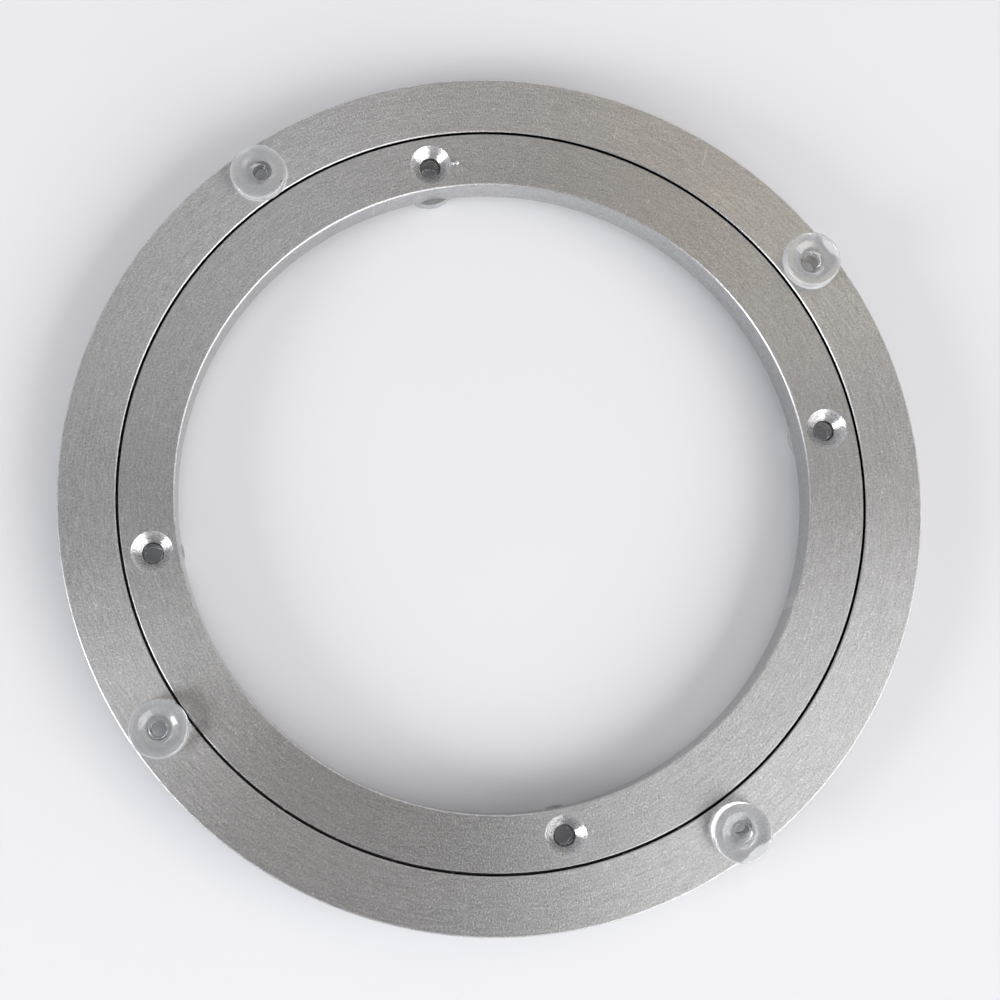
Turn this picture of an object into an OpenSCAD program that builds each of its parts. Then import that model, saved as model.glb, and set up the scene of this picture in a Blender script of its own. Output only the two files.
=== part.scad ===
// Lazy susan turntable: a pair of flat aluminium rings that turn on a row of caged balls.
// The inner ring stands on four soft feet and stays still. The outer ring carries four
// soft pads for a tray and turns around it.
// Origin: centre of the turntable, on the surface that the feet stand on. +Z is up.

/* [Rings] */
// Diameter over the outer ring
outer_diameter = 200; // [198:1:230]
// Diameter of the open middle
bore_diameter = 147; // [120:1:147]
// Thickness of both rings
ring_thickness = 8.5; // [8:0.5:12]
// Diameter of the running gap between the rings, at its middle
gap_diameter = 173; // [172.4:0.2:174]
// Width of the running gap
gap_width = 0.6; // [0.6:0.1:1]
// Edge break along the rim and the bore
edge_chamfer = 0.3; // [0.2:0.1:0.8]
// Edge break on each side of the running gap
gap_chamfer = 0.25; // [0.1:0.05:0.4]

/* [Screw holes] */
// Diameter of the circle of holes in the inner ring
inner_hole_circle = 159.2; // [158:0.2:160.6]
// Diameter of the circle of holes in the outer ring
outer_hole_circle = 186.6; // [185.8:0.2:188]
// Number of holes in each ring
holes_per_ring = 4; // [3:1:6]
// Diameter of a hole
hole_diameter = 5; // [4.6:0.1:5.4]
// Diameter of a countersink at the face
countersink_diameter = 9.6; // [8:0.2:10]

/* [Ball race] */
// Diameter of a ball
ball_diameter = 4; // [3:0.5:4]
// Number of balls in the cage
ball_count = 40; // [12:1:44]
// Space between a ball and the grooves or its pocket
ball_clearance = 0.15; // [0.12:0.01:0.2]
// Radial thickness of the cage band
cage_thickness = 0.3; // [0.2:0.05:0.3]
// Height of the cage band
cage_height = 5.8; // [5.4:0.2:6.4]

/* [Soft pads] */
// Diameter of a pad or foot
pad_diameter = 13.4; // [10:0.2:14]
// Thickness of a pad or foot, also the height of the ring over the table
pad_thickness = 3; // [2:0.5:5]
// Radius of the rounded edge of a pad
pad_rounding = 1.1; // [0.4:0.1:1.6]
// Diameter of the moulded hollow in a pad, at its mouth
hollow_diameter = 4.6; // [2:0.2:5]
// Depth of the moulded hollow in a pad
hollow_depth = 2.2; // [0.5:0.1:2.5]

/* [Pose] */
// Turn of the outer ring from the inner ring's holes to its own, in degrees
rest_turn = 25; // [0:1:45]

/* [Hidden] */
$fn = 96;
BEYOND = 1;  // how far a cutting shape runs past the face that it opens

ring_bottom = pad_thickness;
ring_top = ring_bottom + ring_thickness;
race_height = ring_bottom + ring_thickness / 2;
race_radius = gap_diameter / 2;
groove_radius = ball_diameter / 2 + ball_clearance;
inner_ring_rim = race_radius - gap_width / 2;
outer_ring_bore = race_radius + gap_width / 2;
outer_radius = outer_diameter / 2;
bore_radius = bore_diameter / 2;
hole_radius = hole_diameter / 2;
countersink_radius = countersink_diameter / 2;
countersink_depth = countersink_radius - hole_radius;  // a 90 degree cone
hole_step = 360 / holes_per_ring;

// Stem of a pad: a loose push fit in the hole that narrows towards its end. It stops just
// short of the countersink
pad_radius = pad_diameter / 2;
stem_root_radius = hole_radius - 0.12;
stem_tip_radius = hole_radius - 0.3;
stem_recess = 0.3;
stem_length = ring_thickness - countersink_depth - stem_recess;
stem_edge = 0.35;
pad_lower_edge = 0.3;
hollow_draft = 0.4;

// Filling hole: the balls go in through it one by one, and a grub screw closes it
filling_angle = rest_turn + hole_step / 2;
plug_radius = 2.5;
plug_hole_clearance = 0.05;
dog_radius = ball_diameter / 2 + 0.1;
dog_hole_radius = dog_radius + 0.1;
plug_seat = outer_radius - 7.5;
plug_face = outer_radius - 0.6;
plug_chamfer = 0.4;
plug_end = race_radius + groove_radius + 0.15;
socket_across_flats = 2.5;
socket_depth = 3;

aluminium = [0.72, 0.72, 0.71];
polished_steel = [0.80, 0.81, 0.83];
black_steel = [0.20, 0.20, 0.22];
black_nylon = [0.05, 0.05, 0.05];
clear_pvc = [0.90, 0.92, 0.94, 0.6];

// Cross-section of a flat ring, with its own edge break at each radius
module ring_section(inner_radius, inner_break, rim_radius, rim_break) {
    polygon([
        [inner_radius + inner_break, ring_bottom],
        [rim_radius - rim_break, ring_bottom],
        [rim_radius, ring_bottom + rim_break],
        [rim_radius, ring_top - rim_break],
        [rim_radius - rim_break, ring_top],
        [inner_radius + inner_break, ring_top],
        [inner_radius, ring_top - inner_break],
        [inner_radius, ring_bottom + inner_break]
    ]);
}

// Half-round groove that the balls run in, as the circle it is cut with
module race_section() {
    translate([race_radius, race_height]) circle(r = groove_radius);
}

// Places its children on a circle of holes, one at each hole
module at_holes(circle_diameter, turn) {
    for (i = [0:holes_per_ring - 1])
        rotate([0, 0, turn + i * hole_step])
            translate([circle_diameter / 2, 0, 0])
                children();
}

// Screw hole with its countersink at the top
module countersunk_hole() {
    translate([0, 0, ring_bottom - BEYOND])
        cylinder(h = ring_thickness + 2 * BEYOND, r = hole_radius);
    translate([0, 0, ring_top - countersink_depth])
        cylinder(h = countersink_depth, r1 = hole_radius, r2 = countersink_radius);
    translate([0, 0, ring_top])
        cylinder(h = BEYOND, r = countersink_radius);
}

// Turns its children upside down about the mid-plane of the rings
module flipped() {
    translate([0, 0, 2 * race_height]) mirror([0, 0, 1]) children();
}

// Stepped hole from the rim to the race: a wide part for the thread, a narrow one for the dog
module filling_hole() {
    rotate([0, 0, filling_angle]) translate([0, 0, race_height]) rotate([0, 90, 0]) {
        translate([0, 0, race_radius]) cylinder(h = outer_radius - race_radius, r = dog_hole_radius);
        translate([0, 0, plug_seat]) cylinder(h = outer_radius, r = plug_radius + plug_hole_clearance);
    }
}

module inner_ring() {
    color(aluminium) difference() {
        rotate_extrude() difference() {
            ring_section(bore_radius, edge_chamfer, inner_ring_rim, gap_chamfer);
            race_section();
        }
        at_holes(inner_hole_circle, 0) countersunk_hole();
    }
}

module outer_ring() {
    color(aluminium) difference() {
        rotate_extrude() difference() {
            ring_section(outer_ring_bore, gap_chamfer, outer_radius, edge_chamfer);
            race_section();
        }
        at_holes(outer_hole_circle, rest_turn) flipped() countersunk_hole();
        filling_hole();
    }
}

// Thin band between the rings with a round pocket for each ball
module ball_cage() {
    color(black_nylon) difference() {
        rotate_extrude()
            translate([race_radius - cage_thickness / 2, race_height - cage_height / 2])
                square([cage_thickness, cage_height]);
        for (i = [1:ball_count])
            rotate([0, 0, ball_angle(i)])
                translate([race_radius, 0, race_height])
                    rotate([0, 90, 0])
                        cylinder(h = 2 * BEYOND, r = groove_radius, center = true);
    }
}

function ball_angle(i) = (i - 1) * 360 / ball_count;

module ball(i) {
    color(polished_steel)
        rotate([0, 0, ball_angle(i)])
            translate([race_radius, 0, race_height])
                sphere(d = ball_diameter);
}

// Grub screw with a hexagon socket in its outer end and a dog point behind the race
module filling_plug() {
    color(black_steel)
        rotate([0, 0, filling_angle]) translate([0, 0, race_height]) rotate([0, 90, 0])
            difference() {
                rotate_extrude() polygon([
                    [0, plug_end],
                    [dog_radius, plug_end],
                    [dog_radius, plug_seat],
                    [plug_radius, plug_seat + plug_chamfer],
                    [plug_radius, plug_face - plug_chamfer],
                    [plug_radius - plug_chamfer, plug_face],
                    [0, plug_face]
                ]);
                translate([0, 0, plug_face - socket_depth])
                    cylinder(h = socket_depth + BEYOND, d = socket_across_flats / cos(30), $fn = 6);
            }
}

// Cross-section of a pad that sits on the plane z = 0: a disc with a rounded face, a
// moulded hollow in that face, and a stem below
module pad_section() {
    difference() {
        union() {
            polygon([
                [0, 0],
                [pad_radius - pad_lower_edge, 0],
                [pad_radius, pad_lower_edge],
                [pad_radius, pad_thickness - pad_rounding],
                [pad_radius - pad_rounding, pad_thickness - pad_rounding],
                [pad_radius - pad_rounding, pad_thickness],
                [0, pad_thickness]
            ]);
            intersection() {
                translate([pad_radius - pad_rounding, pad_thickness - pad_rounding])
                    circle(r = pad_rounding);
                square([pad_radius, pad_thickness]);
            }
        }
        polygon([
            [0, pad_thickness - hollow_depth],
            [hollow_diameter / 2 - hollow_draft, pad_thickness - hollow_depth],
            [hollow_diameter / 2, pad_thickness + BEYOND],
            [0, pad_thickness + BEYOND]
        ]);
    }
    polygon([
        [0, 0],
        [0, -stem_length],
        [stem_tip_radius - stem_edge, -stem_length],
        [stem_tip_radius, stem_edge - stem_length],
        [stem_root_radius, 0]
    ]);
}

module pad() {
    color(clear_pvc) rotate_extrude() pad_section();
}

// Places its children at one hole of a circle, at the height of that ring's face
module at_hole(i, circle_diameter, turn, height) {
    rotate([0, 0, turn + (i - 1) * hole_step])
        translate([circle_diameter / 2, 0, height])
            children();
}

module foot(i) {
    at_hole(i, inner_hole_circle, 0, ring_bottom) mirror([0, 0, 1]) pad();
}

module top_pad(i) {
    at_hole(i, outer_hole_circle, rest_turn, ring_top) pad();
}

inner_ring();
outer_ring();
ball_cage();
filling_plug();
for (i = [1:ball_count])
    ball(i);
for (i = [1:holes_per_ring])
    foot(i);
for (i = [1:holes_per_ring])
    top_pad(i);
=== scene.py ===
"""Looks of the lazy susan turntable: two turned aluminium rings with clear soft pads, on a table."""
import math
import random

import bmesh
import bpy
import numpy as np
from mathutils import Matrix, Vector, noise


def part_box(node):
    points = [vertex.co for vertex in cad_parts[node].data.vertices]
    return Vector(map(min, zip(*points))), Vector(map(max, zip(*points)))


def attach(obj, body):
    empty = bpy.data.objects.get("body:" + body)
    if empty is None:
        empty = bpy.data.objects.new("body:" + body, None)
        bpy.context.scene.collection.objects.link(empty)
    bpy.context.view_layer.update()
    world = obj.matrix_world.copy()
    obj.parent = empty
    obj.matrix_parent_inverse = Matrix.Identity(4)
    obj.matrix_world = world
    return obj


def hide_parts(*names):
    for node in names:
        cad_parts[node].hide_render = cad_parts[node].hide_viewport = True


MM = 0.001
NOISE_SEED = 1
ON_PLANE = 0.02 * MM  # how close a point has to be to count as lying on a plane
BEYOND = 1 * MM  # how far a cutter runs past the surface that it opens

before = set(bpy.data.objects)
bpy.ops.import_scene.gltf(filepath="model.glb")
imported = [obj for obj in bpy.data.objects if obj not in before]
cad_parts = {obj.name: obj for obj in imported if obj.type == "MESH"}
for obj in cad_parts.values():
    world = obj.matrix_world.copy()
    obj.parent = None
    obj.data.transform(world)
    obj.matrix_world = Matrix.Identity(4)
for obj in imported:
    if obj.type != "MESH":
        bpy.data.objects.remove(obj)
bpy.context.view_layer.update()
noise.seed_set(NOISE_SEED)  # without this, Blender's vector noise starts from the clock


# ---------------------------------------------------------------- sizes, read from the frame

def points(node):
    """Vertices of a CAD node, one row each."""
    return np.array([v.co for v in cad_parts[node].data.vertices], float)


def middle(node):
    """Middle of a CAD node's box."""
    low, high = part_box(node)
    return (low + high) / 2


def numbered(prefix):
    """Names of the nodes that are the prefix and a number, in order."""
    found = [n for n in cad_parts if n.startswith(prefix) and n[len(prefix):].isdigit()]
    return sorted(found, key=lambda n: int(n[len(prefix):]))


FEET = numbered("foot_")
TOP_PADS = numbered("top_pad_")
BALLS = numbered("ball_")
RING_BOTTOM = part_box("inner_ring")[0].z
RING_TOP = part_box("inner_ring")[1].z
RACE_HEIGHT = middle(BALLS[0]).z
RACE_RADIUS = middle(BALLS[0]).xy.length


def ring_sizes(node):
    """Radii of a ring's two walls and of its flat face, and the radius of its ball groove."""
    x, y, z = points(node).T
    radius = np.hypot(x, y)
    flat = radius[abs(z - RING_TOP) < ON_PLANE]
    return {
        "bore": radius.min(),
        "rim": radius.max(),
        "face_in": flat.min(),
        "face_out": flat.max(),
        "groove": np.hypot(radius - RACE_RADIUS, z - RACE_HEIGHT).min(),
    }


OUTER_RADIUS = ring_sizes("outer_ring")["rim"]


def hole_radius(ring, centre, height):
    """Radius of the hole around a centre, where it meets the plane at that height."""
    x, y, z = points(ring).T
    from_centre = np.hypot(x - centre.x, y - centre.y)
    return from_centre[abs(z - height) < ON_PLANE].min()


# ---------------------------------------------------------------- mesh building

NEARLY_STRAIGHT = 165  # degrees between two sides that are joined without rounding
LONGEST_ROUNDING = 0.42  # of the shorter side, so that two roundings never meet
LEVEL = 0.95  # a face whose normal rises by more than this lies flat
UPRIGHT = 0.45  # a face whose normal rises by less than this is part of a wall
SHARE_OF_HEIGHT = 0.7  # how far the lathe's pattern moves across a ring for each step up its wall


def rounded_corner(before, corner, after, radius, steps):
    """Points of a smooth turn at a corner, or the corner itself where the outline hardly bends."""
    here = Vector(corner)
    back = Vector(before) - here
    on = Vector(after) - here
    bend = back.angle(on)
    if bend > math.radians(NEARLY_STRAIGHT):
        return [corner]
    longest = LONGEST_ROUNDING * min(back.length, on.length)
    reach = min(radius / math.tan(bend / 2), longest)
    start = here + back.normalized() * reach
    end = here + on.normalized() * reach
    shares = [k / steps for k in range(steps + 1)]
    return [tuple(start * (1 - t) ** 2 + here * 2 * t * (1 - t) + end * t ** 2) for t in shares]


def rounded_loop(outline, radius, steps=3):
    """A closed outline with every corner rounded."""
    result = []
    for i, corner in enumerate(outline):
        result += rounded_corner(outline[i - 1], corner, outline[(i + 1) % len(outline)], radius, steps)
    return result


def rounded_line(outline, radii, steps=6):
    """An outline from axis to axis, with a radius for each corner between its ends."""
    result = [outline[0]]
    for before, corner, after, radius in zip(outline, outline[1:], outline[2:], radii):
        result += rounded_corner(before, corner, after, radius, steps)
    return result + [outline[-1]]


def arc(centre, radius, start, end, steps):
    """Points on a circle, with the angles in degrees."""
    angles = [math.radians(start + (end - start) * k / steps) for k in range(steps + 1)]
    return [(centre[0] + radius * math.cos(a), centre[1] + radius * math.sin(a)) for a in angles]


def circle_of(mesh, radius, height, steps):
    """A row of new vertices around Z; on the axis, one vertex that the whole row shares."""
    if radius < ON_PLANE:
        return [mesh.verts.new((0, 0, height))] * steps
    angles = [2 * math.pi * k / steps for k in range(steps)]
    return [mesh.verts.new((radius * math.cos(a), radius * math.sin(a), height)) for a in angles]


def join_rows(mesh, rows):
    """Faces between each row of vertices and the next."""
    for row, following in zip(rows, rows[1:]):
        for k in range(len(row)):
            after = (k + 1) % len(row)
            corners = list(dict.fromkeys([row[k], row[after], following[after], following[k]]))
            if len(corners) > 2:
                mesh.faces.new(corners)


def as_object(name, mesh):
    """New object in the scene from a mesh that is being built."""
    bmesh.ops.recalc_face_normals(mesh, faces=mesh.faces)
    data = bpy.data.meshes.new(name)
    mesh.to_mesh(data)
    mesh.free()
    piece = bpy.data.objects.new(name, data)
    bpy.context.scene.collection.objects.link(piece)
    return piece


def lathe(name, outline, steps, closed=False):
    """Piece turned around Z from an outline of (radius, height) points, from axis to axis or closed."""
    mesh = bmesh.new()
    rows = [circle_of(mesh, radius, height, steps) for radius, height in outline]
    join_rows(mesh, rows + rows[:1] if closed else rows)
    return as_object(name, mesh)


def subtract(piece, cutters):
    """Cuts each cutter out of the piece, then removes the cutters."""
    for cutter in cutters:
        modifier = piece.modifiers.new("cut", "BOOLEAN")
        modifier.object = cutter
        modifier.solver = "EXACT"
    bpy.context.view_layer.update()
    evaluated = piece.evaluated_get(bpy.context.evaluated_depsgraph_get())
    data = bpy.data.meshes.new_from_object(evaluated)
    piece.modifiers.clear()
    piece.data = data
    piece.data.materials.clear()
    for cutter in cutters:
        bpy.data.objects.remove(cutter)


def smooth(piece, sharp_angle):
    """Smooth shading that keeps flat faces flat, with sharp edges where the surface turns by more."""
    piece.data.shade_smooth()
    piece.data.set_sharp_from_angle(angle=math.radians(sharp_angle))
    modifier = piece.modifiers.new("flat faces", "WEIGHTED_NORMAL")
    modifier.keep_sharp = True


def turned_uv(piece, hole_centres, hole_reach):
    """UV map whose U runs around the axis that each face was turned about: a hole's, or the ring's."""
    layer = piece.data.uv_layers.new(name="turned")
    for face in piece.data.polygons:
        near = [c for c in hole_centres if (face.center.xy - c.xy).length < hole_reach]
        axis = near[0].xy if near and abs(face.normal.z) < LEVEL else Vector((0, 0))
        first = None
        for loop in face.loop_indices:
            spot = piece.data.vertices[piece.data.loops[loop].vertex_index].co
            arm = spot.xy - axis
            angle = math.atan2(arm.y, arm.x)
            first = angle if first is None else first
            angle = first + (angle - first + math.pi) % (2 * math.pi) - math.pi
            across = arm.length + SHARE_OF_HEIGHT * spot.z
            layer.data[loop].uv = (angle / (2 * math.pi), across / OUTER_RADIUS)


def finished(piece, slot, body, *nodes):
    """Gives a piece its body, and hides the CAD nodes that it stands for."""
    if nodes:
        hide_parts(*nodes)
    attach(piece, body)
    return piece


# ---------------------------------------------------------------- material building

QUARTER_TURN = 0.25
SPOT_SOFTNESS = 0.3  # of a spot's radius
SCRATCH_SOFTNESS = 0.04  # of the noise that a scratch is cut from


class Shading:
    """A new material, with short ways to build its nodes."""

    def __init__(self, name):
        self.material = bpy.data.materials.new(name)
        self.material.use_nodes = True
        self.tree = self.material.node_tree
        self.shader = self.tree.nodes["Principled BSDF"]

    def add(self, kind, **settings):
        node = self.tree.nodes.new(kind)
        for key, value in settings.items():
            setattr(node, key, value)
        return node

    def feed(self, socket, value):
        """Links another socket to this one, or sets its value."""
        if isinstance(value, bpy.types.NodeSocket):
            self.tree.links.new(value, socket)
        else:
            socket.default_value = value

    def math(self, operation, *values):
        node = self.add("ShaderNodeMath", operation=operation)
        for socket, value in zip(node.inputs, values):
            self.feed(socket, value)
        return node.outputs[0]

    def total(self, *shares):
        """Sum of (value, weight) pairs."""
        result = 0.0
        for value, weight in shares:
            result = self.math("MULTIPLY_ADD", value, weight, result)
        return result

    def place(self):
        """Position on the piece, in metres."""
        return self.add("ShaderNodeTexCoord").outputs["Object"]

    def split(self, value):
        node = self.add("ShaderNodeSeparateXYZ")
        self.feed(node.inputs[0], value)
        return node.outputs

    def join(self, x, y, z):
        node = self.add("ShaderNodeCombineXYZ")
        for socket, value in zip(node.inputs, (x, y, z)):
            self.feed(socket, value)
        return node.outputs[0]

    def from_axis(self, where):
        """Distance of a position from the axis of the turntable."""
        x, y, _ = self.split(where)
        squares = self.math("ADD", self.math("MULTIPLY", x, x), self.math("MULTIPLY", y, y))
        return self.math("SQRT", squares)

    def noise(self, where, size, detail=2.0, roughness=0.5):
        """Soft noise with features of about that size."""
        node = self.add("ShaderNodeTexNoise")
        self.feed(node.inputs["Vector"], where)
        node.inputs["Scale"].default_value = 1 / size
        node.inputs["Detail"].default_value = detail
        node.inputs["Roughness"].default_value = roughness
        return node.outputs["Fac"]

    def spots(self, where, spacing, radius):
        """1 inside scattered round spots, 0 between them."""
        node = self.add("ShaderNodeTexVoronoi")
        self.feed(node.inputs["Vector"], where)
        node.inputs["Scale"].default_value = 1 / spacing
        edge = radius / spacing
        inner = (1 - SPOT_SOFTNESS) * edge
        outer = (1 + SPOT_SOFTNESS) * edge
        return self.remap(node.outputs["Distance"], inner, outer, 1.0, 0.0)

    def remap(self, value, low, high, to_low, to_high):
        """Straight-line change of range, clamped."""
        node = self.add("ShaderNodeMapRange")
        for socket, number in zip(node.inputs, (value, low, high, to_low, to_high)):
            self.feed(socket, number)
        return node.outputs[0]

    def blend(self, share, low, high):
        """Colour between two others; a plain number stands for a grey."""
        node = self.add("ShaderNodeMix", data_type="RGBA")
        self.feed(node.inputs["Factor"], share)
        for socket, value in zip(node.inputs[6:8], (low, high)):
            self.feed(socket, (value, value, value, 1) if isinstance(value, float) else value)
        return node.outputs[2]

    def bump(self, height, distance, under=None):
        """Normal from a height of that depth, on top of another bump."""
        node = self.add("ShaderNodeBump")
        self.feed(node.inputs["Height"], height)
        node.inputs["Distance"].default_value = distance
        if under is not None:
            self.feed(node.inputs["Normal"], under)
        return node.outputs[0]

    def turned_tangent(self):
        """Tangent that runs around the axis that a face was turned about."""
        return self.add("ShaderNodeTangent", direction_type="UV_MAP", uv_map="turned").outputs[0]

    def finish(self, **inputs):
        """Feeds the shader's inputs, named with _ for a space, and gives the material."""
        for name, value in inputs.items():
            self.feed(self.shader.inputs[name.replace("_", " ")], value)
        return self.material


def lathe_lines(look, where, length, width):
    """Noise in thin arcs around Z, each about that long and wide."""
    x, y, z = look.split(where)
    radius = look.from_axis(where)
    around = look.math("DIVIDE", RACE_RADIUS / length, radius)
    across = look.total((radius, 1 / width), (z, SHARE_OF_HEIGHT / width))
    arcs = look.join(look.math("MULTIPLY", x, around), look.math("MULTIPLY", y, around), across)
    return look.noise(arcs, 1.0, detail=2.0, roughness=0.6)


def scratches(look, where, angle, width, length, rarity):
    """Sparse straight scratches in one direction: 1 on a scratch, 0 beside it."""
    turn = look.add("ShaderNodeVectorRotate", rotation_type="Z_AXIS")
    look.feed(turn.inputs["Vector"], where)
    turn.inputs["Angle"].default_value = math.radians(angle)
    x, y, _ = look.split(turn.outputs[0])
    drawn = look.join(look.math("MULTIPLY", x, 1 / length), look.math("MULTIPLY", y, 1 / width), 0.0)
    return look.remap(look.noise(drawn, 1.0, detail=0.0), rarity, rarity + SCRATCH_SOFTNESS, 0.0, 1.0)


def painted_gap_shade(look, where):
    """Mask of painted shade: 1 on the walls of the running gap and the ball grooves, which are painted
    almost black as their shade, 0 on the rest of a ring.
    """
    depth = look.math("ABSOLUTE", look.math("SUBTRACT", look.split(where)[2], RACE_HEIGHT))
    away = look.math("ABSOLUTE", look.math("SUBTRACT", look.from_axis(where), RACE_RADIUS))
    # the edge at the top of the gap is left out of the painted shade
    bright_edge = 0.26 * MM
    gap_shade_reach = 2.3 * MM
    below_face = look.math("LESS_THAN", depth, (RING_TOP - RING_BOTTOM) / 2 - bright_edge)
    near_race = look.math("LESS_THAN", away, gap_shade_reach)
    return look.math("MULTIPLY", below_face, near_race)


def turned_aluminium(name, roughness, anisotropy):
    """Ring surface: short arcs from the lathe under a bright speckle, a few scratches and pits, with
    painted shade on the walls of the running gap.
    """
    look = Shading(name)
    where = look.place()
    arcs = lathe_lines(look, where, 2.5 * MM, 0.30 * MM)
    long_arcs = lathe_lines(look, where, 12 * MM, 0.55 * MM)
    grain = look.noise(where, 0.46 * MM, detail=2.0, roughness=0.7)
    cloud = look.noise(where, 22 * MM, detail=2.0)
    speck = look.remap(look.noise(where, 0.62 * MM, detail=1.0), 0.695, 0.75, 0.0, 1.0)
    scratch = look.math("MAXIMUM", scratches(look, where, 27, 0.5 * MM, 14 * MM, 0.80),
                        scratches(look, where, 118, 0.6 * MM, 11 * MM, 0.81))
    pit = look.spots(where, 24 * MM, 0.30 * MM)
    on_inner_ring = look.math("LESS_THAN", look.from_axis(where), RACE_RADIUS)

    shade = look.total((arcs, 0.30), (long_arcs, 0.14), (grain, 0.56))
    colour = look.blend(look.remap(shade, 0.36, 0.64, 0.0, 1.0), 0.41, 0.78)
    colour = look.blend(look.remap(cloud, 0.35, 0.65, 0.0, 0.25), colour, 0.56)
    colour = look.blend(look.total((speck, 0.55), (scratch, 0.30)), colour, 1.0)
    colour = look.blend(look.math("MULTIPLY", pit, 0.75), colour, 0.12)
    colour = look.blend(look.math("MULTIPLY", on_inner_ring, 0.10), colour, 0.0)
    # painted shade: the walls of the running gap and the ball grooves are painted almost black
    colour = look.blend(painted_gap_shade(look, where), colour, 0.03)
    uneven = look.total((grain, 0.10), (arcs, 0.06), (cloud, 0.06), (scratch, -0.08), (1.0, roughness))
    normal = look.bump(arcs, 0.022 * MM)
    normal = look.bump(grain, 0.080 * MM, normal)
    normal = look.bump(scratch, -0.01 * MM, normal)
    return look.finish(Base_Color=colour, Metallic=1.0, Roughness=uneven, Normal=normal,
                       Anisotropic=anisotropy, Anisotropic_Rotation=QUARTER_TURN,
                       Tangent=look.turned_tangent())


def drilled_aluminium():
    """Countersinks: bright rings from the cutter, broken up by chatter and a coarse grain."""
    look = Shading("drilled_aluminium")
    ring_width = 0.18 * MM
    ring_changes = 5.0  # in one turn
    chatter_width = 1.6 * MM
    chatter_marks = 30.0  # in one turn
    around, across, _ = look.split(look.add("ShaderNodeUVMap", uv_map="turned").outputs[0])
    ring_place = look.join(look.math("MULTIPLY", across, OUTER_RADIUS / ring_width),
                           look.math("MULTIPLY", around, ring_changes), 0.0)
    chatter_place = look.join(look.math("MULTIPLY", around, chatter_marks),
                              look.math("MULTIPLY", across, OUTER_RADIUS / chatter_width), 0.0)
    rings = look.noise(ring_place, 1.0)
    chatter = look.noise(chatter_place, 1.0, detail=1.0)
    grain = look.noise(look.place(), 0.40 * MM, detail=2.0, roughness=0.7)
    shade = look.total((rings, 0.4), (grain, 0.6))
    colour = look.blend(look.remap(shade, 0.36, 0.64, 0.0, 1.0), 0.38, 0.84)
    normal = look.bump(chatter, 0.05 * MM)
    normal = look.bump(rings, 0.02 * MM, normal)
    normal = look.bump(grain, 0.05 * MM, normal)
    roughness = look.remap(grain, 0.3, 0.7, 0.24, 0.36)
    return look.finish(Base_Color=colour, Metallic=1.0, Roughness=roughness, Normal=normal,
                       Anisotropic=0.8, Anisotropic_Rotation=QUARTER_TURN,
                       Tangent=look.turned_tangent())


def clear_pvc():
    """Soft PVC: milky towards the rim, clear in the stem, frosted on the face, with specks of dust."""
    look = Shading("clear_pvc")
    where = look.place()
    waves = look.noise(where, 3.5 * MM, detail=1.0)
    haze = look.noise(where, 3.0 * MM)
    frost = look.add("ShaderNodeAttribute", attribute_name="frost").outputs["Fac"]
    milk = look.add("ShaderNodeAttribute", attribute_name="milk").outputs["Fac"]
    dust = look.spots(where, 4.5 * MM, 0.20 * MM)
    colour = look.blend(haze, (0.90, 0.92, 0.94, 1), (0.98, 0.985, 0.99, 1))
    colour = look.blend(dust, colour, 0.08)
    roughness = look.total((haze, 0.06), (frost, 0.11), (1.0, 0.02))
    clearness = look.remap(milk, 0.0, 1.0, 0.97, 0.75)
    return look.finish(Base_Color=colour, Roughness=roughness, IOR=1.53,
                       Normal=look.bump(waves, 0.06 * MM), Transmission_Weight=clearness,
                       Coat_Weight=0.7, Coat_Roughness=0.35)


def ball_steel():
    """Polished balls with a trace of grease and a very fine grain."""
    look = Shading("ball_steel")
    where = look.place()
    grease = look.noise(where, 1.5 * MM, detail=3.0)
    fine = look.noise(where, 0.1 * MM)
    roughness = look.remap(grease, 0.3, 0.7, 0.06, 0.22)
    return look.finish(Base_Color=look.blend(grease, 0.60, 0.82), Metallic=1.0, Roughness=roughness,
                       Normal=look.bump(fine, 0.002 * MM))


def polished_chip():
    """Freshly cut aluminium of a chip: bright, with the tool's fine ridges."""
    look = Shading("polished_chip")
    where = look.place()
    ridges = look.noise(where, 0.12 * MM, detail=2.0)
    roughness = look.remap(ridges, 0.3, 0.7, 0.10, 0.22)
    return look.finish(Base_Color=look.blend(ridges, 0.45, 0.90), Metallic=1.0, Roughness=roughness,
                       Normal=look.bump(ridges, 0.01 * MM))


def black_oxide_steel():
    """Black oxide on the screw, worn to grey in places."""
    look = Shading("black_oxide_steel")
    where = look.place()
    wear = look.noise(where, 0.8 * MM, detail=4.0, roughness=0.65)
    fine = look.noise(where, 0.12 * MM)
    colour = look.blend(look.remap(wear, 0.5, 0.75, 0.0, 1.0), 0.04, 0.22)
    roughness = look.remap(wear, 0.3, 0.7, 0.45, 0.30)
    return look.finish(Base_Color=colour, Metallic=1.0, Roughness=roughness,
                       Normal=look.bump(fine, 0.006 * MM))


def black_nylon():
    """Moulded black nylon with a faint flow grain."""
    look = Shading("black_nylon")
    where = look.place()
    flow = lathe_lines(look, where, 6 * MM, 0.6 * MM)
    fine = look.noise(where, 0.15 * MM)
    roughness = look.remap(fine, 0.3, 0.7, 0.45, 0.62)
    return look.finish(Base_Color=look.blend(flow, 0.012, 0.030), Roughness=roughness,
                       Normal=look.bump(fine, 0.006 * MM))


def table_top():
    """Pale matt table with the faintest unevenness."""
    look = Shading("table_top")
    cloud = look.noise(look.place(), 0.25, detail=3.0)
    colour = look.blend(cloud, (0.72, 0.725, 0.755, 1), (0.75, 0.755, 0.78, 1))
    return look.finish(Base_Color=colour, Roughness=0.7)


# ---------------------------------------------------------------- the rings

RING_STEPS = 360
HOLE_STEPS = 72
GROOVE_STEPS = 14
EDGE_ROUNDING = 0.08 * MM
SHARP_ANGLE = 40
WALL_METAL = 1  # place in the list of metals; the flat faces keep the first
DRILLED_METAL = 2


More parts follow.
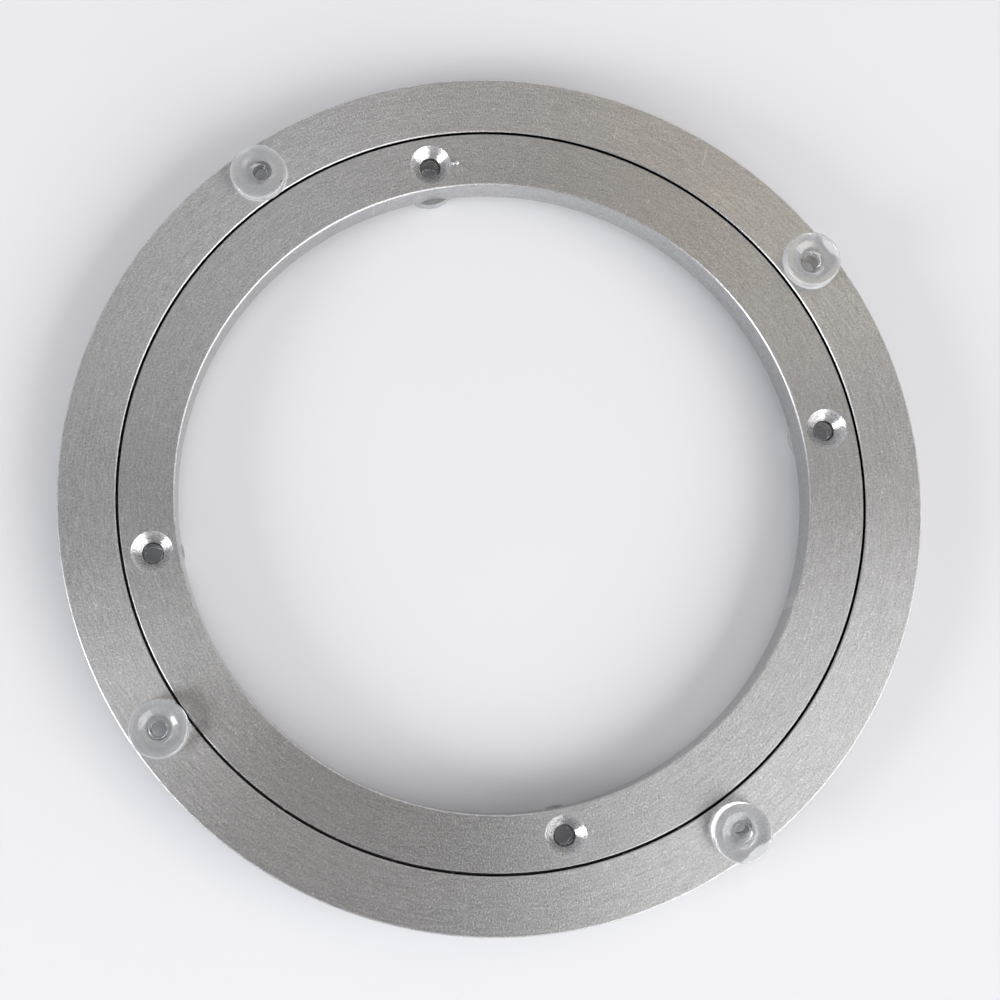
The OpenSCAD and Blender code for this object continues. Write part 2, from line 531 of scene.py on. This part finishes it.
def race_points(sizes, wall, side):
    """Ball groove in a wall, from its lower edge up; side is -1 for the inner ring, 1 for the outer."""
    reach = math.degrees(math.acos(abs(wall - RACE_RADIUS) / sizes["groove"]))
    upward = arc((RACE_RADIUS, RACE_HEIGHT), sizes["groove"], -reach, reach, GROOVE_STEPS)
    return [(RACE_RADIUS + side * (radius - RACE_RADIUS), height) for radius, height in upward]


def ring_outline(sizes):
    """Section of a ring, anticlockwise from its lower face."""
    rim_break = sizes["rim"] - sizes["face_out"]
    bore_break = sizes["face_in"] - sizes["bore"]
    rim = [(sizes["rim"], RING_BOTTOM + rim_break), (sizes["rim"], RING_TOP - rim_break)]
    bore = [(sizes["bore"], RING_TOP - bore_break), (sizes["bore"], RING_BOTTOM + bore_break)]
    if sizes["rim"] < RACE_RADIUS:
        rim[1:1] = race_points(sizes, sizes["rim"], -1)
    else:
        bore[1:1] = reversed(race_points(sizes, sizes["bore"], 1))
    lower_face = [(sizes["face_in"], RING_BOTTOM), (sizes["face_out"], RING_BOTTOM)]
    upper_face = [(sizes["face_out"], RING_TOP), (sizes["face_in"], RING_TOP)]
    return rounded_loop(lower_face + rim + upper_face + bore, EDGE_ROUNDING)


def screw_hole(ring, centre, wide_end, narrow_end):
    """Cutter for one screw hole, with its countersink at the height wide_end."""
    wide = hole_radius(ring, centre, wide_end)
    narrow = hole_radius(ring, centre, narrow_end)
    way = math.copysign(1, wide_end - narrow_end)
    outline = [
        (0, narrow_end - way * BEYOND),
        (narrow, narrow_end - way * BEYOND),
        (narrow, wide_end - way * (wide - narrow)),
        (wide, wide_end),
        (wide, wide_end + way * BEYOND),
        (0, wide_end + way * BEYOND),
    ]
    cutter = lathe("cutter", outline, HOLE_STEPS)
    cutter.location = (centre.x, centre.y, 0)
    return cutter


def build_ring(ring, body, pads, wide_end, other_cutters, metals):
    """A ring with its screw holes, its turned surface and its bright countersinks."""
    piece = lathe(ring + "_metal", ring_outline(ring_sizes(ring)), RING_STEPS, closed=True)
    narrow_end = RING_TOP + RING_BOTTOM - wide_end
    centres = [middle(pad) for pad in pads]
    holes = [screw_hole(ring, centre, wide_end, narrow_end) for centre in centres]
    subtract(piece, holes + other_cutters)
    for metal in metals:
        piece.data.materials.append(metal)
    reach = hole_radius(ring, centres[0], wide_end)
    for face in piece.data.polygons:
        in_hole = any((face.center.xy - c.xy).length < reach for c in centres)
        if in_hole and abs(face.normal.z) < LEVEL:
            face.material_index = DRILLED_METAL
        elif abs(face.normal.z) < UPRIGHT:
            face.material_index = WALL_METAL
    turned_uv(piece, centres, reach)
    smooth(piece, SHARP_ANGLE)
    return finished(piece, "aluminium", body, ring)


# ---------------------------------------------------------------- the filling screw

SCREW_STEPS = 48
THREAD_PITCH = 0.8 * MM
THREAD_DEPTH = 0.22 * MM
THREAD_ROWS = 8  # rows of vertices in one pitch
CREST_FLATNESS = 1.3  # 1 gives a sharp crest, and more a flatter one
FACE_LEAD = 0.4 * MM  # over which the thread runs out at the screw's face
START_LEAD = 0.3 * MM  # and at its start
RUN_OUT_DEPTH = 0.35 * MM
HEXAGON = 6


class ScrewSizes:
    """Sizes of the filling screw, along its own axis from the middle of the turntable and across it."""

    def __init__(self, node):
        x, y, z = points(node).T
        self.out = middle(node).xy.normalized()
        along = x * self.out.x + y * self.out.y
        across = np.hypot(x * self.out.y - y * self.out.x, z - RACE_HEIGHT)
        self.radius = across.max()
        self.face = along.max()
        self.end = along.min()
        self.dog_radius = across[along < self.end + ON_PLANE].max()
        self.seat = along[abs(across - self.dog_radius) < ON_PLANE].max()
        self.socket_radius = across[along > self.face - ON_PLANE].min()

    def lay(self, piece):
        """Turns a piece made along +Z to lie along the screw's axis."""
        direction = Vector((self.out.x, self.out.y, 0))
        turn = direction.to_track_quat("Z", "Y").to_matrix().to_4x4()
        piece.data.transform(Matrix.Translation((0, 0, RACE_HEIGHT)) @ turn)


def filling_hole(screw):
    """Cutter for the stepped hole from the rim to the race, with a bevel at its mouth."""
    space = 0.05 * MM
    bevel = 0.35 * MM
    narrow = screw.dog_radius + 2 * space
    wide = screw.radius + space
    outline = [
        (0, RACE_RADIUS),
        (narrow, RACE_RADIUS),
        (narrow, screw.seat),
        (wide, screw.seat),
        (wide, OUTER_RADIUS - bevel),
        (wide + 2 * bevel, OUTER_RADIUS + bevel),
        (wide + 2 * bevel, OUTER_RADIUS + BEYOND),
        (0, OUTER_RADIUS + BEYOND),
    ]
    cutter = lathe("cutter", outline, HOLE_STEPS)
    screw.lay(cutter)
    return cutter


def hexagon_socket(screw):
    """Cutter for the six-sided socket, with its drill point and a lead-in."""
    depth = 3 * MM
    drill_point = 0.5 * MM
    lead_in = 0.2 * MM
    outline = [
        (0, screw.face - depth - drill_point),
        (screw.socket_radius, screw.face - depth),
        (screw.socket_radius, screw.face - lead_in),
        (screw.socket_radius + 2 * lead_in, screw.face + lead_in),
        (screw.socket_radius + 2 * lead_in, screw.face + BEYOND),
        (0, screw.face + BEYOND),
    ]
    return lathe("cutter", outline, HEXAGON)


def thread_row(mesh, screw, height, start):
    """One row of vertices of the thread, which runs out at both of its ends."""
    lead = min(1.0, (screw.face - height) / FACE_LEAD, (height - start) / START_LEAD)
    row = []
    for k in range(SCREW_STEPS):
        phase = (height / THREAD_PITCH - k / SCREW_STEPS) % 1.0
        crest = 1 - abs(2 * phase - 1)
        depth = THREAD_DEPTH * max(0.0, 1 - CREST_FLATNESS * crest)
        radius = screw.radius - depth - RUN_OUT_DEPTH * (1 - lead)
        angle = 2 * math.pi * k / SCREW_STEPS
        row.append(mesh.verts.new((radius * math.cos(angle), radius * math.sin(angle), height)))
    return row


def build_screw(screw, steel):
    """Grub screw that closes the filling hole, with its thread, dog point and socket."""
    neck = 0.5 * MM
    start = screw.seat + neck
    dog_edge = 0.2 * MM
    mesh = bmesh.new()
    rows = [
        circle_of(mesh, 0, screw.end, SCREW_STEPS),
        circle_of(mesh, screw.dog_radius - dog_edge, screw.end, SCREW_STEPS),
        circle_of(mesh, screw.dog_radius, screw.end + dog_edge, SCREW_STEPS),
        circle_of(mesh, screw.dog_radius, start, SCREW_STEPS),
    ]
    count = round((screw.face - start) / THREAD_PITCH * THREAD_ROWS)
    heights = [start + (screw.face - start) * k / count for k in range(count + 1)]
    rows += [thread_row(mesh, screw, height, start) for height in heights]
    rows.append(circle_of(mesh, 0, screw.face, SCREW_STEPS))
    join_rows(mesh, rows)
    piece = as_object("filling_screw", mesh)
    subtract(piece, [hexagon_socket(screw)])
    screw.lay(piece)
    piece.data.materials.append(steel)
    smooth(piece, SHARP_ANGLE)
    return finished(piece, "black_steel", "turntable", "filling_plug")


# ---------------------------------------------------------------- the soft pads

PAD_STEPS = 96
PAD_GAP = 0.05 * MM  # air left between a pad and its ring
PAD_DRAFT = 0.15 * MM  # how much narrower a pad is at its face
PAD_DISH = 1.05 * MM  # how far the face sinks towards the hollow
DISH_STEPS = 12
FROST_WIDTH = 1.0 * MM  # over which the frosting fades in from an edge
DISH_FROM_RIM = 1.6 * MM  # where the face begins to sink
LIP = 0.3 * MM  # between the foot of the dish and the hollow
STEM_EDGE = 0.35 * MM
STEM_FILLET = 0.15 * MM
LOWER_EDGE = 0.35 * MM
UPPER_EDGE = 1.3 * MM
MOUTH_EDGE = 0.30 * MM
FLOOR_FILLET = 0.45 * MM
LEAN = 0.15  # share of a head's shift that builds up from its seat to its face
STEM_MARGIN = 0.2 * MM  # around the stem, which stays in its hole
RIPPLE_SIZE = 2.6 * MM
RIPPLE_DEPTH = 0.07 * MM
SOFT_ANGLE = 60  # smooth shading up to this turn, in degrees


def pad_sizes(node, seat, way):
    """Sizes of a moulded pad, with heights from its seat on the ring."""
    x, y, z = points(node).T
    centre = middle(node)
    radius = np.hypot(x - centre.x, y - centre.y)
    height = (z - seat) * way
    top = height.max()
    stem_end = height.min()
    mouth = radius[height > top - ON_PLANE].min()
    hollow = (height > ON_PLANE) & (radius < mouth - ON_PLANE)
    floor = height[hollow].min()
    return {
        "disc": radius.max(),
        "top": top,
        "mouth": mouth,
        "floor": floor,
        "floor_radius": radius[hollow & (height < floor + ON_PLANE)].max(),
        "stem_end": stem_end,
        "stem_root": radius[abs(height) < ON_PLANE].min(),
        "stem_tip": radius[height < stem_end + MM].max(),
    }


def dish(start, end, top):
    """Points of a pad's face, which sinks in a soft S-curve from its rim to the hollow."""
    shares = [k / DISH_STEPS for k in range(DISH_STEPS + 1)]
    return [(start + (end - start) * t, top - PAD_DISH * t ** 2 * (3 - 2 * t)) for t in shares]


def pad_outline(sizes):
    """Section of a moulded pad from the end of its stem to the floor of its hollow."""
    face = dish(sizes["disc"] - DISH_FROM_RIM, sizes["mouth"] + LIP, sizes["top"])
    corners = [
        ((0, sizes["stem_end"]), 0),
        ((sizes["stem_tip"], sizes["stem_end"]), STEM_EDGE),
        ((sizes["stem_root"], PAD_GAP), STEM_FILLET),
        ((sizes["disc"], PAD_GAP), LOWER_EDGE),
        ((sizes["disc"] - PAD_DRAFT, sizes["top"]), UPPER_EDGE),
        *[(point, 0) for point in face],
        ((sizes["mouth"], sizes["top"] - PAD_DISH), MOUTH_EDGE),
        ((sizes["floor_radius"], sizes["floor"]), FLOOR_FILLET),
        ((0, sizes["floor"]), 0),
    ]
    outline = [point for point, _ in corners]
    return rounded_line(outline, [radius for _, radius in corners[1:-1]])


def add_cloudiness(piece, sizes):
    """Stores how frosted and how milky each vertex is.

    The dished face and the underside are frosted, and the sides and the hollow are not. The
    plastic turns from clear in the stem and the hollow to milky at the rim.
    """
    frost = piece.data.attributes.new("frost", "FLOAT", "POINT")
    milk = piece.data.attributes.new("milk", "FLOAT", "POINT")
    for vertex, frosted, milky in zip(piece.data.vertices, frost.data, milk.data):
        radius = vertex.co.xy.length
        from_edge = min(radius - sizes["mouth"], sizes["disc"] - FROST_WIDTH - radius)
        outward = (radius - sizes["mouth"]) / (sizes["disc"] - sizes["mouth"])
        frosted.value = min(1.0, max(0.0, from_edge / FROST_WIDTH))
        milky.value = min(1.0, max(0.0, outward))


def push_aside(piece, sizes, shift, seed):
    """Moves a soft head over its stem, a little more at its face, and makes it slightly uneven."""
    offset = Vector((random.Random(seed).uniform(0, 100), 0, 0))
    for vertex in piece.data.vertices:
        near_stem = vertex.co.xy.length < sizes["stem_root"] + STEM_MARGIN
        if near_stem and vertex.co.z < 2 * PAD_GAP:
            continue
        height = min(1.0, vertex.co.z / sizes["top"])
        share = 1 - LEAN + LEAN * height
        ripple = noise.noise_vector(vertex.co / RIPPLE_SIZE + offset) * RIPPLE_DEPTH * height
        vertex.co.x += shift.x * share + ripple.x
        vertex.co.y += shift.y * share + ripple.y


def build_pad(node, body, seat, way, outward_shift, sideways_shift, plastic):
    """A moulded pad on its ring: way is 1 where its face is up and -1 where it is down."""
    centre = middle(node)
    outward = centre.xy.normalized()
    sideways = Vector((-outward.y, outward.x))
    sizes = pad_sizes(node, seat, way)
    piece = lathe(node + "_moulding", pad_outline(sizes), PAD_STEPS)
    add_cloudiness(piece, sizes)
    push_aside(piece, sizes, outward * outward_shift + sideways * sideways_shift, node)
    onto_seat = Matrix.Translation((centre.x, centre.y, seat))
    piece.data.transform(onto_seat @ Matrix.Diagonal((1, 1, way, 1)))
    if way < 0:
        piece.data.flip_normals()
    piece.data.materials.append(plastic)
    smooth(piece, SOFT_ANGLE)
    return finished(piece, "clear_pvc", body, node)


# ---------------------------------------------------------------- a chip left by the countersink drill

CHIP_STEPS = 16
CHIP_ROUNDING = 0.2 * MM
DENT_SIZE = 0.5 * MM
DENT_DEPTH = 0.06 * MM


def build_chip(pad, metal):
    """Small curled chip of metal that lies beside one hole of the inner ring."""
    inward = 0.8 * MM
    aside = 4.7 * MM
    axis_height = 0.5 * MM
    beads = [(0, 0), (0.35, 0.08), (0.48, 0.45), (0.26, 0.85), (0.55, 1.35), (0.44, 1.85), (0, 2.05)]
    outline = [(radius * MM, height * MM) for radius, height in beads]
    roundings = [CHIP_ROUNDING] * (len(outline) - 2)
    chip = lathe("metal_chip", rounded_line(outline, roundings), CHIP_STEPS)
    for vertex in chip.data.vertices:
        vertex.co += noise.noise_vector(vertex.co / DENT_SIZE) * DENT_DEPTH
    centre = middle(pad)
    outward = centre.xy.normalized()
    spot = centre.xy - outward * inward + Vector((outward.y, -outward.x)) * aside
    lie = Matrix.Rotation(math.radians(90), 4, "Y")
    chip.data.transform(Matrix.Translation((spot.x, spot.y, RING_TOP + axis_height)) @ lie)
    chip.data.materials.append(metal)
    smooth(chip, SOFT_ANGLE)
    return finished(chip, "aluminium", "base")


# ---------------------------------------------------------------- the view, the light and the table

def look_at(place, target, up):
    """Matrix of a camera or lamp at a place, which looks along its own -Z at the target."""
    back = (place - target).normalized()
    right = up.cross(back).normalized()
    turn = Matrix((right, back.cross(right), back)).transposed()
    return Matrix.Translation(place) @ turn.to_4x4()


def add_camera():
    """Camera above the turntable, a little in front and to the left; places are in outer radii."""
    ring_middle = Vector((0, 0, RING_TOP))
    place = ring_middle + Vector((-0.456, -0.477, 3.406)) * OUTER_RADIUS
    target = ring_middle + Vector((-0.155, 0.027, 0)) * OUTER_RADIUS
    data = bpy.data.cameras.new("camera")
    data.sensor_width = 36
    data.lens = 54.15
    data.shift_x = 0.0721
    data.shift_y = -0.0102
    data.clip_start = 0.01
    camera = bpy.data.objects.new("camera", data)
    bpy.context.scene.collection.objects.link(camera)
    roll = Matrix.Rotation(math.radians(-11.02), 4, "Z")
    camera.matrix_world = look_at(place, target, Vector((0, 1, 0))) @ roll
    bpy.context.scene.camera = camera


def add_softbox(name, azimuth, elevation, distance, width, height, power, colour):
    """Rectangular studio lamp that faces the turntable; distances are in outer radii."""
    data = bpy.data.lights.new(name, "AREA")
    data.shape = "RECTANGLE"
    data.size = width * OUTER_RADIUS
    data.size_y = height * OUTER_RADIUS
    data.energy = power
    data.color = colour
    lamp = bpy.data.objects.new(name, data)
    bpy.context.scene.collection.objects.link(lamp)
    turn = math.radians(azimuth)
    rise = math.radians(elevation)
    level = math.cos(rise)
    direction = Vector((math.cos(turn) * level, math.sin(turn) * level, math.sin(rise)))
    place = direction * distance * OUTER_RADIUS
    lamp.matrix_world = look_at(place, Vector((0, 0, RING_TOP)), Vector((0, 0, 1)))
    lamp.visible_camera = False


SKY_BLUE = 1.04  # how much more blue than red and green the sky has


def add_sky(stops):
    """Light from all around: each stop is a height, 0 at the horizon and 1 overhead, and a grey."""
    world = bpy.data.worlds.new("studio")
    world.use_nodes = True
    tree = world.node_tree
    direction = tree.nodes.new("ShaderNodeTexCoord").outputs["Generated"]
    parts = tree.nodes.new("ShaderNodeSeparateXYZ")
    tree.links.new(direction, parts.inputs[0])
    ramp = tree.nodes.new("ShaderNodeValToRGB")
    elements = ramp.color_ramp.elements
    while len(elements) < len(stops):
        elements.new(0.5)
    for element, (height, grey) in zip(elements, stops):
        element.position = height
        element.color = (grey, grey, SKY_BLUE * grey, 1)
    tree.links.new(parts.outputs["Z"], ramp.inputs[0])
    tree.links.new(ramp.outputs[0], tree.nodes["Background"].inputs["Color"])
    bpy.context.scene.world = world


TABLE_RADIUS = 4  # metres
TABLE_STEPS = 64


def add_table():
    """Wide pale table that the feet stand on."""
    mesh = bmesh.new()
    bmesh.ops.create_circle(mesh, cap_ends=True, radius=TABLE_RADIUS, segments=TABLE_STEPS)
    table = as_object("table", mesh)
    table.data.materials.append(table_top())


# ---------------------------------------------------------------- all of it together

plastic = clear_pvc()
metals = [
    turned_aluminium("aluminium_faces", roughness=0.30, anisotropy=0.8),
    turned_aluminium("aluminium_walls", roughness=0.12, anisotropy=0.0),
    drilled_aluminium(),
]
screw = ScrewSizes("filling_plug")
build_ring("inner_ring", "base", FEET, RING_TOP, [], metals)
build_ring("outer_ring", "turntable", TOP_PADS, RING_BOTTOM, [filling_hole(screw)], metals)
build_screw(screw, black_oxide_steel())
build_chip(FEET[1], polished_chip())

# How far each soft head sits off its hole, in mm: outward and sideways
TOP_SHIFTS = [(0.9, 0.7), (-0.2, 1.4), (-0.3, -0.1), (1.5, -1.4)]
FOOT_SHIFTS = [(0.6, 0.0), (-0.5, 0.0), (0.3, 0.0), (0.1, 0.0)]
for node, (outward, sideways) in zip(TOP_PADS, TOP_SHIFTS):
    build_pad(node, "turntable", RING_TOP, 1, outward * MM, sideways * MM, plastic)
for node, (outward, sideways) in zip(FEET, FOOT_SHIFTS):
    build_pad(node, "base", RING_BOTTOM, -1, outward * MM, sideways * MM, plastic)

steel = ball_steel()
for node in BALLS:
    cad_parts[node].data.materials.clear()
    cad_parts[node].data.materials.append(steel)
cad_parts["ball_cage"].data.materials.clear()
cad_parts["ball_cage"].data.materials.append(black_nylon())

add_table()
add_camera()
add_sky([(0.10, 1.5), (0.24, 0.62), (0.72, 0.62), (0.97, 0.20)])
add_softbox("key", azimuth=-46, elevation=32, distance=24.0, width=30.0, height=16.0,
            power=59.0, colour=(1.0, 0.99, 0.98))
add_softbox("fill", azimuth=193, elevation=22, distance=16.0, width=6.0, height=5.6,
            power=13.6, colour=(0.98, 0.99, 1.0))
add_softbox("warm_card", azimuth=42, elevation=52, distance=10.0, width=5.0, height=4.0,
            power=0.54, colour=(1.0, 0.76, 0.42))
bpy.context.scene.view_settings.view_transform = "Standard"
